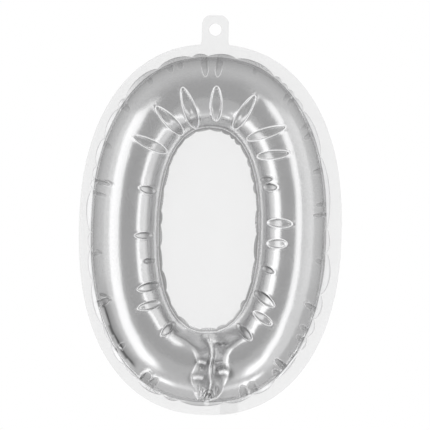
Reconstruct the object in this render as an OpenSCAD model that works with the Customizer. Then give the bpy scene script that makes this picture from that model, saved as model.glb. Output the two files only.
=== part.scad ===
// Foil number balloon, numeral zero: a puffed silver ring in a flat clear film, hung by a tab.
// Millimetres. The origin is the centre of the hang hole, +Z is up and the front faces -Y.

/* [Die cut film] */
// Width of the clear film
film_w = 263; // [250:1:280]
// Height of the clear film, without the tab
film_h = 371; // [360:1:390]
// Thickness of each foil and each clear film
film_t = 0.3; // [0.2:0.05:0.4]

/* [Silver ring] */
// Width of the ring's centreline
ring_w = 168; // [164:1:172]
// Height of the ring's centreline
ring_h = 276; // [270:1:282]
// Sideways shift of the ring in the film
ring_shift = -2; // [-4:0.5:4]
// Width of the puffed tube between its seams
tube_w = 70; // [60:1:72]
// Height of the puff on each side of the seams
tube_rise = 30; // [22:1:32]
// Width of the flat silver seam on each edge of the tube
seam_w = 3; // [2:0.5:5]

/* [Cross seam] */
// Sideways place of the cross seam at the foot of the ring
cross_x = 3; // [-6:0.5:6]
// Width of the flat cross seam
cross_w = 6; // [4:0.5:10]
// Width of the valley between the tube's two ends, level with the top of the puff
valley_w = 44; // [30:1:60]

/* [Hang tab] */
// Width of the tab
tab_w = 27; // [20:1:34]
// Height of the tab above the film's outline
tab_h = 29; // [26:1:36]
// Radius of the tab's corners
tab_corner_r = 9; // [4:0.5:12]
// Diameter of the hang hole
hole_d = 12; // [8:0.5:14]
// Distance from the tab's top edge to the middle of the hole
hole_drop = 14.5; // [12:0.5:16]
// Free gap between the tab and the film at the fold line
fold_gap = 0.3; // [0.3:0.1:0.6]

/* [Valve] */
// Width of the valve sleeve
valve_w = 18; // [14:1:22]
// Thickness of each valve film
valve_t = 0.15; // [0.1:0.05:0.2]
// Sideways distance from the cross seam to the middle of the valve
valve_offset = 20; // [18:1:26]
// Length of the free tail inside the tube
tail_l = 42; // [30:1:50]
// Free gap between the sealed sleeve and its tail
tail_gap = 0.3; // [0.2:0.1:0.6]

/* [Hidden] */
$fn = 96;

// Heights, measured from the middle of the hang hole
film_top = hole_drop - tab_h;
film_mid = film_top - film_h / 2;
fold_z = film_top + fold_gap + film_t;
seam_foot = film_mid - ring_h / 2 - tube_w / 2;

// The tube's section is an arc over the chord between its seams
chord = tube_w / 2;
arc_r = (chord * chord + tube_rise * tube_rise) / (2 * tube_rise);
arc_drop = arc_r - tube_rise;
band_reach = chord + seam_w;

// Height by which the valley's section stands past the puff
valley_over = 2;

// Long enough to cut right across the object
far = 500;

// An oval of four arcs is given as [half width, half height]. Its arcs meet where a line with a
// rise of 5 in 12 passes both their centres, so each centre is a whole number of oval_unit away.
film_oval = [film_w / 2, film_h / 2];
ring_oval = [ring_w / 2, ring_h / 2];
rise = 5;
run = 12;
slope = norm([rise, run]);
function oval_unit(o) = (o[1] - o[0]) / (rise + run - slope);
function end_centre(o) = rise * oval_unit(o);
function side_centre(o) = run * oval_unit(o);
function end_r(o) = o[1] - end_centre(o);
function side_r(o) = o[0] + side_centre(o);
function grown(o, by) = [o[0] + by, o[1] + by];

// The valve stands beside the cross seam. Its sealed sleeve ends just inside the tube, over its whole width
hinge_inset = 1.5;
valve_x = cross_x + valve_offset;
seam_r = end_r(ring_oval) + chord;
valve_edge = valve_x + valve_w / 2 - ring_shift;
seam_at_edge = film_mid - end_centre(ring_oval) - sqrt(pow(seam_r, 2) - pow(valve_edge, 2));
hinge_z = seam_at_edge + hinge_inset;

// Lays a shape drawn in X and Y upright, with its thickness from the middle plane to the front
module upright(thickness) {
    rotate([90, 0, 0])
        linear_extrude(thickness)
            children();
}

// Turns a front piece into the back one
module to_back() {
    mirror([0, 1, 0])
        children();
}

// The stretch of an oval that its top arc bounds, out to well beyond it
module end_wedge(o) {
    c = end_centre(o);
    n = far / slope;
    polygon([[0, c], [run * n, c + rise * n], [-run * n, c + rise * n]]);
}

// The stretch of an oval that its right side arc bounds, from the oval's middle outwards
module side_wedge(o) {
    c = end_centre(o);
    n = far / slope;
    polygon([[0, -c], [run * n, -c - rise * n], [run * n, c + rise * n], [0, c]]);
}

// A full oval disc
module oval_disc(o) {
    for (turn = [0, 180])
        rotate(turn) {
            intersection() {
                translate([0, end_centre(o)])
                    circle(r = end_r(o));
                end_wedge(o);
            }
            intersection() {
                translate([-side_centre(o), 0])
                    circle(r = side_r(o));
                side_wedge(o);
            }
        }
}

// Sweeps a section round the ring's centreline. The section's X is measured from the centreline
// towards the outside, and its Y towards the front.
module ring_sweep() {
    o = ring_oval;
    end_turn = [15, 150];
    side_turn = [-30, 60];
    translate([ring_shift, 0, film_mid])
        rotate([90, 0, 0])
            for (turn = [0, 180])
                rotate([0, 0, turn]) {
                    intersection() {
                        translate([0, end_centre(o), 0])
                            rotate_extrude(start = end_turn[0], angle = end_turn[1])
                                translate([end_r(o), 0])
                                    children();
                        linear_extrude(far, center = true)
                            end_wedge(o);
                    }
                    intersection() {
                        translate([-side_centre(o), 0, 0])
                            rotate_extrude(start = side_turn[0], angle = side_turn[1])
                                translate([side_r(o), 0])
                                    children();
                        linear_extrude(far, center = true)
                            side_wedge(o);
                    }
                }
}

// Section of the whole puff, from the seam plane to the front
module puff_section() {
    intersection() {
        translate([0, -arc_drop])
            circle(r = arc_r);
        translate([-band_reach, 0])
            square([2 * band_reach, arc_r]);
    }
}

// Section of one foil: the arched film and its flat seams
module foil_section() {
    difference() {
        union() {
            puff_section();
            translate([-band_reach, 0])
                square([2 * band_reach, film_t]);
        }
        intersection() {
            translate([0, -arc_drop])
                circle(r = arc_r - film_t);
            translate([-band_reach, -film_t])
                square([2 * band_reach, arc_r + film_t]);
        }
    }
}

// Section across the valley, seen from above, widened on each side by extra
module valley_section(extra) {
    half_foot = cross_w / 2 + extra;
    half_top = valley_w / 2 + extra;
    lip = half_top + (half_top - half_foot) * valley_over / tube_rise;
    polygon([
        [-half_foot, -film_t],
        [half_foot, -film_t],
        [lip, -tube_rise - valley_over],
        [-lip, -tube_rise - valley_over]
    ]);
}

// Runs a section across the ring at its foot
module across_foot() {
    translate([cross_x, 0, seam_foot - 2 * seam_w])
        linear_extrude(tube_w + 4 * seam_w)
            children();
}

// The films that close the tube's two ends, and the flat seam between them
module valley_walls() {
    intersection() {
        ring_sweep() puff_section();
        across_foot() {
            difference() {
                valley_section(film_t);
                valley_section(0);
            }
            translate([-cross_w / 2 - film_t, -film_t])
                square([cross_w + 2 * film_t, film_t]);
        }
    }
}

// Room for the sealed valve sleeve between the two plies, half of it on each side
module valve_strip(low, high) {
    translate([valve_x - valve_w / 2, -valve_t, low])
        cube([valve_w, valve_t, high - low]);
}

// The stretch of that room from below the film's outline up to the fold of the tail
module sleeve_strip() {
    valve_strip(film_mid - film_h, hinge_z);
}

// One silver foil: the front ply of the numeral
module foil() {
    difference() {
        union() {
            difference() {
                ring_sweep() foil_section();
                across_foot() valley_section(0);
            }
            valley_walls();
        }
        sleeve_strip();
    }
}

// One clear film round the numeral
module border() {
    difference() {
        translate([0, 0, film_mid])
            upright(film_t)
                difference() {
                    oval_disc(film_oval);
                    translate([ring_shift, 0])
                        oval_disc(grown(ring_oval, band_reach));
                }
        sleeve_strip();
    }
}

// One clear film in the numeral's counter
module window() {
    translate([ring_shift, 0, film_mid])
        upright(film_t)
            oval_disc(grown(ring_oval, -band_reach));
}

// One clear film of the hang tab, with a round lower edge on the fold line
module tab() {
    half = tab_w / 2;
    intersection() {
        union() {
            upright(film_t)
                difference() {
                    union() {
                        for (side = [-1, 1])
                            translate([side * (half - tab_corner_r), hole_drop - tab_corner_r])
                                circle(r = tab_corner_r);
                        translate([-half + tab_corner_r, fold_z])
                            square([tab_w - 2 * tab_corner_r, hole_drop - fold_z]);
                        translate([-half, fold_z])
                            square([tab_w, hole_drop - tab_corner_r - fold_z]);
                    }
                    circle(d = hole_d);
                }
            translate([-half, 0, fold_z])
                rotate([0, 90, 0])
                    cylinder(r = film_t, h = tab_w);
        }
        translate([-far / 2, -far, -far / 2])
            cube([far, far, far]);
    }
}

// One film of the valve sleeve, sealed between the plies from the film's edge to the tube
module valve_film() {
    intersection() {
        sleeve_strip();
        translate([0, 0, film_mid])
            upright(film_t)
                oval_disc(film_oval);
    }
}

// One film of the valve's free tail, inside the tube
module valve_tail() {
    valve_strip(hinge_z + tail_gap, hinge_z + tail_gap + tail_l);
}

module front_foil() { color("silver") foil(); }
module back_foil() { color("silver") to_back() foil(); }
module front_border() { color("whitesmoke", 0.4) border(); }
module back_border() { color("whitesmoke", 0.4) to_back() border(); }
module front_window() { color("whitesmoke", 0.4) window(); }
module back_window() { color("whitesmoke", 0.4) to_back() window(); }
module front_tab() { color("whitesmoke", 0.4) tab(); }
module back_tab() { color("whitesmoke", 0.4) to_back() tab(); }
module valve_front_film() { color("aliceblue") valve_film(); }
module valve_back_film() { color("aliceblue") to_back() valve_film(); }
module valve_front_tail() { color("aliceblue") valve_tail(); }
module valve_back_tail() { color("aliceblue") to_back() valve_tail(); }

front_foil();
back_foil();
front_border();
back_border();
front_window();
back_window();
front_tab();
back_tab();
valve_front_film();
valve_back_film();
valve_front_tail();
valve_back_tail();
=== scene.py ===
"""Visual model of a puffed foil numeral zero in a clear die cut film, hung by its tab.

Everything is in metres, in the frame of the CAD model: the origin is the centre of the hang
hole, +Z is up and the front faces -Y. Plans and sections are written in millimetres and turned
into metres where a mesh gets its points.
"""

import logging
import math
import random
from dataclasses import dataclass, field
from enum import Enum

import bpy
import numpy as np
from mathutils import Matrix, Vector


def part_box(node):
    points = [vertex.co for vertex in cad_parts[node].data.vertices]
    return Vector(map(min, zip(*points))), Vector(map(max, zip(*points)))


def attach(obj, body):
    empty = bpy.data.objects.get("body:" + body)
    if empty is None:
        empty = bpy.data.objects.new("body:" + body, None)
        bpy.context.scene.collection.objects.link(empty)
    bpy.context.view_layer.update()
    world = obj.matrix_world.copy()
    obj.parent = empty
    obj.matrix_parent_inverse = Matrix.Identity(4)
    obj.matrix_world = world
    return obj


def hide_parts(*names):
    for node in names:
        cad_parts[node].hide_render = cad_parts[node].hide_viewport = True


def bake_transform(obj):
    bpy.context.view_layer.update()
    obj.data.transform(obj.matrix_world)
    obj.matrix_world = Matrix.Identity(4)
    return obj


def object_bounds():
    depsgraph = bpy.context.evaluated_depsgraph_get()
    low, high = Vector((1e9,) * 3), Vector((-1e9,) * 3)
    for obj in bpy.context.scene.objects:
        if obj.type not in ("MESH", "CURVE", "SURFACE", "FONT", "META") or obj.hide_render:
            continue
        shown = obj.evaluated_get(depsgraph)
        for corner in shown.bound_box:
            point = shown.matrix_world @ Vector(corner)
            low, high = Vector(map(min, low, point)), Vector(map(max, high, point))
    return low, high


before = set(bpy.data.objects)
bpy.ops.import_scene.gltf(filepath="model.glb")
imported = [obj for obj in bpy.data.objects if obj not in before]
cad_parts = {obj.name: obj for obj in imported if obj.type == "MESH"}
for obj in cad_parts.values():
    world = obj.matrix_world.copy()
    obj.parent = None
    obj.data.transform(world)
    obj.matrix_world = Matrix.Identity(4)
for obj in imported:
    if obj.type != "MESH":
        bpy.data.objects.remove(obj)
CAD_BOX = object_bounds()

MM = 0.001
LOG = logging.getLogger("balloon")


class Side(Enum):
    """Which ply of the balloon a piece belongs to, as the sign of its Y."""

    FRONT = -1
    BACK = 1


# ---------------------------------------------------------------------------------------------
# Shader nodes
# ---------------------------------------------------------------------------------------------


class Value:
    """A number socket of a shader that takes part in Python expressions."""

    def __init__(self, maker: "NodeMaker", socket: bpy.types.NodeSocket) -> None:
        """Keeps the socket and the maker that adds nodes after it."""
        self.maker = maker
        self.socket = socket

    def _math(self, operation: str, first: object, second: object) -> "Value":
        """Adds one Math node.

        Args:
            operation: the Math node's operation.
            first: its first input, a Value or a number.
            second: its second input, a Value or a number.

        Returns:
            The node's result.
        """
        return self.maker.value("ShaderNodeMath", {"operation": operation}, {0: first, 1: second})

    def __add__(self, other: object) -> "Value":
        """self + other"""
        return self._math("ADD", self, other)

    __radd__ = __add__

    def __sub__(self, other: object) -> "Value":
        """self - other"""
        return self._math("SUBTRACT", self, other)

    def __rsub__(self, other: object) -> "Value":
        """other - self"""
        return self._math("SUBTRACT", other, self)

    def __mul__(self, other: object) -> "Value":
        """self * other"""
        return self._math("MULTIPLY", self, other)

    __rmul__ = __mul__

    def __rpow__(self, other: object) -> "Value":
        """other ** self"""
        return self._math("POWER", other, self)


class NodeMaker:
    """Adds nodes to one node tree."""

    def __init__(self, tree: bpy.types.NodeTree) -> None:
        """Empties the tree and keeps it."""
        self.tree = tree
        tree.nodes.clear()

    def node(self, kind: str, settings: dict | None = None, inputs: dict | None = None) -> bpy.types.Node:
        """Adds any node.

        Args:
            kind: the node's type.
            settings: its own settings, which are set first. "stops" sets a colour ramp.
            inputs: its sockets' values, Values or sockets, by name or by number.

        Returns:
            The new node.
        """
        made = self.tree.nodes.new(kind)
        for key, setting in (settings or {}).items():
            if key == "stops":
                self._set_stops(made.color_ramp, setting)
            else:
                setattr(made, key, setting)
        for key, given in (inputs or {}).items():
            self._feed(made.inputs[key], given)
        return made

    def value(self, kind: str, settings: dict | None = None, inputs: dict | None = None,
              output: str | int = 0) -> Value:
        """Adds any node and wraps one of its outputs for use in expressions."""
        return Value(self, self.node(kind, settings, inputs).outputs[output])

    def _feed(self, socket: bpy.types.NodeSocket, given: object) -> None:
        """Links or sets one input socket."""
        if isinstance(given, Value):
            given = given.socket
        if isinstance(given, bpy.types.NodeSocket):
            self.tree.links.new(given, socket)
        else:
            socket.default_value = given

    @staticmethod
    def _set_stops(ramp: bpy.types.ColorRamp, stops: list[tuple[float, float]]) -> None:
        """Gives a colour ramp its grey stops, each a place and a brightness."""
        while len(ramp.elements) < len(stops):
            ramp.elements.new(1.0)
        for element, (place, grey) in zip(ramp.elements, stops):
            element.position = place
            element.color = (grey, grey, grey, 1.0)


def new_material(name: str) -> tuple[bpy.types.Material, NodeMaker]:
    """Makes an empty node material.

    Args:
        name: the material's name.

    Returns:
        The material, and the maker of its nodes.
    """
    material = bpy.data.materials.new(name)
    material.use_nodes = True
    return material, NodeMaker(material.node_tree)


@dataclass(frozen=True)
class SatinFoil:
    """Metallised film: satin silver with a fine grain, painted highlights along the creases,
    painted light and shade, and hazy sealed margins.

    The foil's mesh carries five values: how far a point is from the nearest crease in
    millimetres, how strong the painted highlight along that crease is, the painted light and
    shade of the film, how hazy the film is, and how crinkled it is.
    """

    grey: float = 0.62
    roughness: float = 0.205
    grain_size: float = 0.0013
    haze_grey: float = 0.86
    grain_height: float = 0.000036
    crinkle_height: float = 0.0045
    crinkle_scale: float = 310.0
    # How strongly the crinkles' painted light and shade changes the colour.
    crinkle_painted_shading: float = 2.2
    draw_height: float = 0.00002
    draw_lines: float = 70.0
    draw_stretch: float = 30.0
    crease_width: float = 0.52
    crease_height: float = 0.00022

    def build(self) -> bpy.types.Material:
        """Makes the material.

        Returns:
            The satin silver material.
        """
        material, maker = new_material("satin_foil")
        place = maker.node("ShaderNodeTexCoord")
        distance, painted_highlight, light, haze, crinkle = (
            maker.value("ShaderNodeAttribute", {"attribute_name": name}, {}, "Fac")
            for name in ("crease_distance", "crease_painted_highlight", "painted_shading", "haze", "crinkle")
        )
        folds = maker.value(
            "ShaderNodeTexNoise", {},
            {
                "Vector": place.outputs["Object"], "Scale": self.crinkle_scale, "Detail": 1.5,
                "Roughness": 0.6,
            },
        )
        grain = maker.value(
            "ShaderNodeTexNoise", {},
            {
                "Vector": place.outputs["Object"], "Scale": 1 / self.grain_size, "Detail": 3.0,
                "Roughness": 0.6,
            },
        )
        cloud = maker.value(
            "ShaderNodeTexNoise", {},
            {"Vector": place.outputs["Object"], "Scale": 32.0, "Detail": 2.0, "Roughness": 0.5},
        )
        along = maker.node(
            "ShaderNodeMapping", {},
            {"Vector": place.outputs["UV"], "Scale": (self.draw_stretch, self.draw_lines, 1.0)},
        )
        lines = maker.value(
            "ShaderNodeTexNoise", {},
            {"Vector": along.outputs["Vector"], "Scale": 1.0, "Detail": 2.0, "Roughness": 0.55},
        )
        # crease is the painted highlight along the nearest crease's rim; it whitens the colour.
        near = distance * (1 / self.crease_width)
        crease = math.e ** (0.0 - near * near) * painted_highlight
        # Under the painted crease highlight and under the margins' haze, the film is less metallic and
        # rougher.
        haze_and_crease_highlight = maker.value("ShaderNodeMath", {"operation": "MAXIMUM"}, {0: crease, 1: haze})
        # light is the painted light and shade from the mesh, as a factor on the silver's colour.
        silver = (self.grey + (cloud - 0.5) * 0.05 + (grain - 0.5) * 0.20) * light
        tone = silver + (light * self.haze_grey - silver) * haze
        tone = tone + (1.0 - tone) * crease
        # Painted light and shade of the crinkled patch: the folds' noise makes the colour lighter and
        # darker.
        tone = tone * ((folds - 0.5) * crinkle * self.crinkle_painted_shading + 1.0)
        colour = maker.node(
            "ShaderNodeCombineColor", {}, {"Red": tone, "Green": tone, "Blue": tone * 1.006}
        )
        relief = grain * self.grain_height + lines * self.draw_height + crease * self.crease_height
        relief = relief + folds * crinkle * self.crinkle_height
        bump = maker.node("ShaderNodeBump", {}, {"Height": relief, "Distance": 1.0, "Strength": 1.0})
        shader = maker.node(
            "ShaderNodeBsdfPrincipled", {},
            {
                "Base Color": colour.outputs["Color"],
                "Metallic": 1.0 - haze_and_crease_highlight * 0.6,
                "Roughness": self.roughness + (cloud - 0.5) * 0.05 + (grain - 0.5) * 0.22 + haze_and_crease_highlight * 0.15,
                "Normal": bump.outputs["Normal"],
            },
        )
        maker.node("ShaderNodeOutputMaterial", {}, {"Surface": shader.outputs["BSDF"]})
        return material


@dataclass(frozen=True)
class ClearFilm:
    """Clear glossy film. It darkens what is behind it a little and shows soft ripples."""

    name: str = "clear_film"
    grey: float = 0.62
    alpha: float = 0.079
    roughness: float = 0.12
    ripple_height: float = 0.00012

    def build(self) -> bpy.types.Material:
        """Makes the material.

        Returns:
            The clear film material.
        """
        material, maker = new_material(self.name)
        place = maker.node("ShaderNodeTexCoord")
        ripple = maker.value(
            "ShaderNodeTexNoise", {},
            {"Vector": place.outputs["Object"], "Scale": 45.0, "Detail": 2.0, "Roughness": 0.5},
        )
        scuff = maker.value(
            "ShaderNodeTexNoise", {},
            {"Vector": place.outputs["Object"], "Scale": 400.0, "Detail": 3.0, "Roughness": 0.6},
        )
        tone = self.grey + (scuff - 0.5) * 0.04
        colour = maker.node("ShaderNodeCombineColor", {}, {"Red": tone, "Green": tone, "Blue": tone * 1.01})
        bump = maker.node(
            "ShaderNodeBump", {}, {"Height": ripple * self.ripple_height, "Distance": 1.0, "Strength": 1.0}
        )
        shader = maker.node(
            "ShaderNodeBsdfPrincipled", {},
            {
                "Base Color": colour.outputs["Color"],
                "Roughness": self.roughness + (scuff - 0.5) * 0.08,
                "Alpha": self.alpha + (ripple - 0.5) * 0.01,
                "IOR": 1.5,
                "Normal": bump.outputs["Normal"],
            },
        )
        maker.node("ShaderNodeOutputMaterial", {}, {"Surface": shader.outputs["BSDF"]})
        return material


@dataclass(frozen=True)
class StudioFloor:
    """Pale matt floor."""

    grey: float = 0.86
    glow: float = 0.12

    def build(self) -> bpy.types.Material:
        """Makes the material.

        Returns:
            The floor's material.
        """
        material, maker = new_material("studio_floor")
        place = maker.node("ShaderNodeTexCoord")
        mottle = maker.value(
            "ShaderNodeTexNoise", {}, {"Vector": place.outputs["Object"], "Scale": 3.0, "Detail": 2.0}
        )
        tone = self.grey + (mottle - 0.5) * 0.02
        colour = maker.node("ShaderNodeCombineColor", {}, {"Red": tone, "Green": tone, "Blue": tone})
        shader = maker.node(
            "ShaderNodeBsdfPrincipled", {},
            {
                "Base Color": colour.outputs["Color"],
                "Roughness": 0.9,
                "Emission Color": colour.outputs["Color"],
                "Emission Strength": self.glow,
            },
        )
        maker.node("ShaderNodeOutputMaterial", {}, {"Surface": shader.outputs["BSDF"]})
        return material


# ---------------------------------------------------------------------------------------------
# Mesh helpers
# ---------------------------------------------------------------------------------------------


def deselect_all() -> None:
    """Leaves edit mode and deselects every object."""
    if bpy.context.object and bpy.context.object.mode != "OBJECT":
        bpy.ops.object.mode_set(mode="OBJECT")
    bpy.ops.object.select_all(action="DESELECT")


def sheet_grid(
    name: str, points: np.ndarray, values: dict[str, np.ndarray] | None = None
) -> bpy.types.Object:
    """Adds a grid and lays its vertices on a surface.

    Args:
        name: the new object's name.
        points: the vertices' places in metres, shaped (rows, columns, 3).
        values: numbers that the vertices carry for the material, by name, shaped (rows, columns).

    Returns:
        The new object, with a UV map that runs along and across.
    """
    rows, columns = points.shape[:2]
    deselect_all()
    bpy.ops.mesh.primitive_grid_add(x_subdivisions=columns - 1, y_subdivisions=rows - 1, size=1.0)
    sheet = bpy.context.object
    sheet.name = name
    sheet.data.name = name
    flat = np.zeros(len(sheet.data.vertices) * 3, np.float32)
    sheet.data.vertices.foreach_get("co", flat)
    flat = flat.reshape(-1, 3)
    column = np.rint((flat[:, 0] + 0.5) * (columns - 1)).astype(int)
    row = np.rint((flat[:, 1] + 0.5) * (rows - 1)).astype(int)
    sheet.data.vertices.foreach_set("co", points[row, column].astype(np.float32).ravel())
    for key, numbers in (values or {}).items():
        carried = sheet.data.attributes.new(key, "FLOAT", "POINT")
        carried.data.foreach_set("value", numbers[row, column].astype(np.float32))
    sheet.data.update()
    return sheet


def weld(sheet: bpy.types.Object, within: float) -> None:
    """Merges the vertices of a piece that meet, and turns its faces one way.

    Args:
        sheet: the piece.
        within: how close two vertices have to be to merge, in metres.
    """
    deselect_all()
    bpy.context.view_layer.objects.active = sheet
    sheet.select_set(True)
    bpy.ops.object.mode_set(mode="EDIT")
    bpy.ops.mesh.select_all(action="SELECT")
    bpy.ops.mesh.remove_doubles(threshold=within)
    bpy.ops.mesh.normals_make_consistent(inside=False)
    bpy.ops.object.mode_set(mode="OBJECT")


def face_towards(sheet: bpy.types.Object, direction: Vector) -> None:
    """Flips a sheet if most of its area faces away from a direction."""
    total = sum((p.normal.dot(direction) * p.area for p in sheet.data.polygons), 0.0)
    if total < 0:
        sheet.data.flip_normals()


def thicken(sheet: bpy.types.Object, thickness: float) -> None:
    """Gives a sheet its wall, behind its faces, and shades it smooth.

    Args:
        sheet: the piece.
        thickness: the wall in metres.
    """
    deselect_all()
    bpy.context.view_layer.objects.active = sheet
    sheet.select_set(True)
    wall = sheet.modifiers.new("wall", "SOLIDIFY")
    wall.thickness = thickness
    wall.offset = -1.0
    wall.use_rim = True
    bpy.ops.object.modifier_apply(modifier=wall.name)
    bpy.ops.object.shade_smooth_by_angle(angle=math.radians(50))


def cover(sheet: bpy.types.Object, material: bpy.types.Material) -> None:
    """Gives a piece its one material."""
    sheet.data.materials.clear()
    sheet.data.materials.append(material)


def smooth_step(value: np.ndarray, low: float, high: float) -> np.ndarray:
    """A smooth rise from 0 at low to 1 at high."""
    t = np.clip((value - low) / (high - low), 0.0, 1.0)
    return t * t * (3.0 - 2.0 * t)


# ---------------------------------------------------------------------------------------------
# The plan and the section of the zero
# ---------------------------------------------------------------------------------------------


@dataclass(frozen=True)
class RingPlan:
    """Front plan of the zero, in millimetres from the middle of the hang hole.

    A place is a turn in degrees, clockwise from the top, and a reach: 0 on a small oval just
    inside the counter's edge and 1 on a large one just outside the clear film's edge.
    """

    centre: tuple[float, float] = (-1.7, -200.2)
    small_half: tuple[float, float] = (44.0, 96.0)
    small_power: float = 2.35
    large_half: tuple[float, float] = (133.0, 188.5)
    large_power: float = 2.27
    start_turn: float = 177.6

    def spot(self, turn: np.ndarray, reach: np.ndarray) -> tuple[np.ndarray, np.ndarray]:
        """Finds places in the plan.

        Args:
            turn: turns in degrees.
            reach: reaches, of a shape that broadcasts with them.

        Returns:
            Their X and Z in millimetres.
        """
        sine, cosine = np.sin(np.radians(turn)), np.cos(np.radians(turn))
        ends = []
        for half, power in ((self.small_half, self.small_power), (self.large_half, self.large_power)):
            x = half[0] * np.sign(sine) * np.abs(sine) ** (2.0 / power)
            z = half[1] * np.sign(cosine) * np.abs(cosine) ** (2.0 / power)
            ends.append((x, z))
        (small_x, small_z), (large_x, large_z) = ends
        x = self.centre[0] + small_x + (large_x - small_x) * reach
        z = self.centre[1] + small_z + (large_z - small_z) * reach
        return x, z

    def even_turns(self, count: int, reach: float) -> np.ndarray:
        """Spreads turns evenly by length round the ring, from the cross seam back to it.

        Args:
            count: how many turns, with the first and the last at the cross seam.
            reach: the reach at which they are even.

        Returns:
            The turns in degrees, rising from start_turn.
        """
        fine = self.start_turn + np.linspace(0.0, 360.0, 7201)
        x, z = self.spot(fine, np.full_like(fine, reach))
        length = np.concatenate([[0.0], np.cumsum(np.hypot(np.diff(x), np.diff(z)))])
        return np.interp(np.linspace(0.0, length[-1], count), length, fine)


@dataclass(frozen=True)
class TubeSection:
    """Section of one foil across the tube, with heights in millimetres above the seam plane."""

    inner_seam: float = 0.078
    outer_seam: float = 0.822
    crest: float = 0.45
    rise: float = 27.6
    inner_foot: float = 0.6
    outer_foot: float = 2.0
    edge_foot: float = 0.55
    wall_lean: float = 9.0
    inner_steps: tuple[float, ...] = (0.0, 0.22, 0.6, 0.86)
    outer_steps: tuple[float, ...] = (0.08, 0.20, 0.50, 0.80, 0.92, 1.0)
    tube_rows: int = 46

    @property
    def tube(self) -> slice:
        """Which rows of vertices belong to the tube."""
        return slice(len(self.inner_steps), len(self.inner_steps) + self.tube_rows)

    def across(
        self, inner_edge: np.ndarray, outer_edge: np.ndarray
    ) -> tuple[np.ndarray, np.ndarray, np.ndarray]:
        """Works out the section at every column of the foil.

        Args:
            inner_edge: the reach of the silver's edge in the counter, at each column.
            outer_edge: the reach of the silver's outer edge, at each column.

        Returns:
            The reach, the foot height and the puff height of every vertex, shaped
            (rows, columns). The puff is what the cross seam presses flat.
        """
        columns = np.ones(len(inner_edge))
        angle = np.radians(np.linspace(self.wall_lean, 180.0 - self.wall_lean, self.tube_rows))
        lean = math.radians(self.wall_lean)
        side = -np.cos(angle) / math.cos(lean)
        share = self.crest + side * np.where(side < 0, self.crest, 1.0 - self.crest)
        puff = (np.sin(angle) - math.sin(lean)) / (1.0 - math.sin(lean)) * self.rise
        tube_reach = self.inner_seam + share * (self.outer_seam - self.inner_seam)
        tube_foot = self.inner_foot + share * (self.outer_foot - self.inner_foot)

        inner_t = np.array(self.inner_steps)[:, None]
        inner_reach = inner_edge + (self.inner_seam - inner_edge) * inner_t
        inner_foot = self.edge_foot + (self.inner_foot - self.edge_foot) * inner_t * columns

        outer_t = np.array(self.outer_steps)[:, None]
        outer_reach = self.outer_seam + (outer_edge - self.outer_seam) * outer_t
        outer_foot = self.edge_foot + (self.outer_foot - self.edge_foot) * (1.0 - outer_t) ** 1.3 * columns

        reach = np.concatenate([inner_reach, tube_reach[:, None] * columns, outer_reach])
        foot = np.concatenate([inner_foot, tube_foot[:, None] * columns, outer_foot])
        height = np.zeros_like(reach)
        height[self.tube] = puff[:, None]
        return reach, foot, height


@dataclass(frozen=True)
class Mark:
    """What one crease does to the foil: its relief and distance in millimetres, its painted highlight and
    its painted shade.
    """

    relief: np.ndarray
    distance: np.ndarray
    painted_highlight: np.ndarray
    # light is painted shade, as a factor on the film's colour.
    light: np.ndarray


@dataclass(frozen=True)
class Pucker:
    """A leaf-shaped dent that starts at a seam and runs towards the crest.

    base and tip are (turn, reach) places. Width and depth are in millimetres. taper makes the
    base end wider than the tip end. pale is how strong the painted highlight along its rim is.
    ribs are fine pleats along it. shade is the painted shade inside its upper rim, and the lower
    end of its dish gets painted shade too. base_rim is how much of the rim's painted highlight is
    left at the base. A leaf with an open base runs out into the seam.
    """

    base: tuple[float, float]
    tip: tuple[float, float]
    width: float
    depth: float
    taper: float = 0.0
    painted_highlight: float = 1.0
    ribs: int = 0
    shade: float = 0.0
    base_rim: float = 1.0
    open_base: bool = False

    def mark(self, plan: RingPlan, x: np.ndarray, z: np.ndarray) -> Mark:
        """Works out the dent at every point of the foil.

        Args:
            plan: the plan that its ends are places of.
            x: X of the points in millimetres.
            z: Z of the points in millimetres.

        Returns:
            The dent's mark on the foil.
        """
        bx, bz = plan.spot(np.array(self.base[0]), np.array(self.base[1]))
        tx, tz = plan.spot(np.array(self.tip[0]), np.array(self.tip[1]))
        length = float(np.hypot(tx - bx, tz - bz))
        ux, uz = (tx - bx) / length, (tz - bz) / length
        along = (((x - bx) * ux + (z - bz) * uz) / length - 0.5) * 2.0
        off = (x - bx) * uz - (z - bz) * ux
        half = self.width / 2.0 * (1.0 - self.taper * np.clip(along, -1.0, 1.0))
        rim = self.base_rim + (1.0 - self.base_rim) * smooth_step(along, -0.6, 0.5)
        ends = np.ones_like(along)
        if self.open_base:
            ends = 1.0 - smooth_step(-along, 0.9, 1.4)
            along = np.maximum(along, 0.0)
        round_out = np.hypot(along, off / half)
        slope = np.hypot(along / (length / 2.0), off / half ** 2) + 1e-9
        distance = (round_out - 1.0) * round_out / slope
        dish = np.clip(1.0 - round_out ** 7, 0.0, 1.0) * ends
        relief = -self.depth * dish + 0.25 * self.depth * np.exp(-((distance - 0.5) / 0.9) ** 2) * ends
        if self.ribs:
            relief = relief + 0.06 * np.cos(off / half * np.pi * self.ribs) * dish
        # Painted shade: lee darkens the film just inside the upper rim, and the next lines darken the lower
        # end of the dish.
        upper = smooth_step(-off / half * math.copysign(1.0, ux), 0.1, 0.8)
        lee = np.exp(-((distance + 1.4) / 0.8) ** 2) * upper
        deep = dish * smooth_step(-along, -0.5, 0.4)
        dish_shade = 1.0 - (0.14 + 0.22 * self.shade) * deep
        return Mark(relief, distance, self.painted_highlight * rim, (1.0 - self.shade * lee * ends) * dish_shade)


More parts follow.
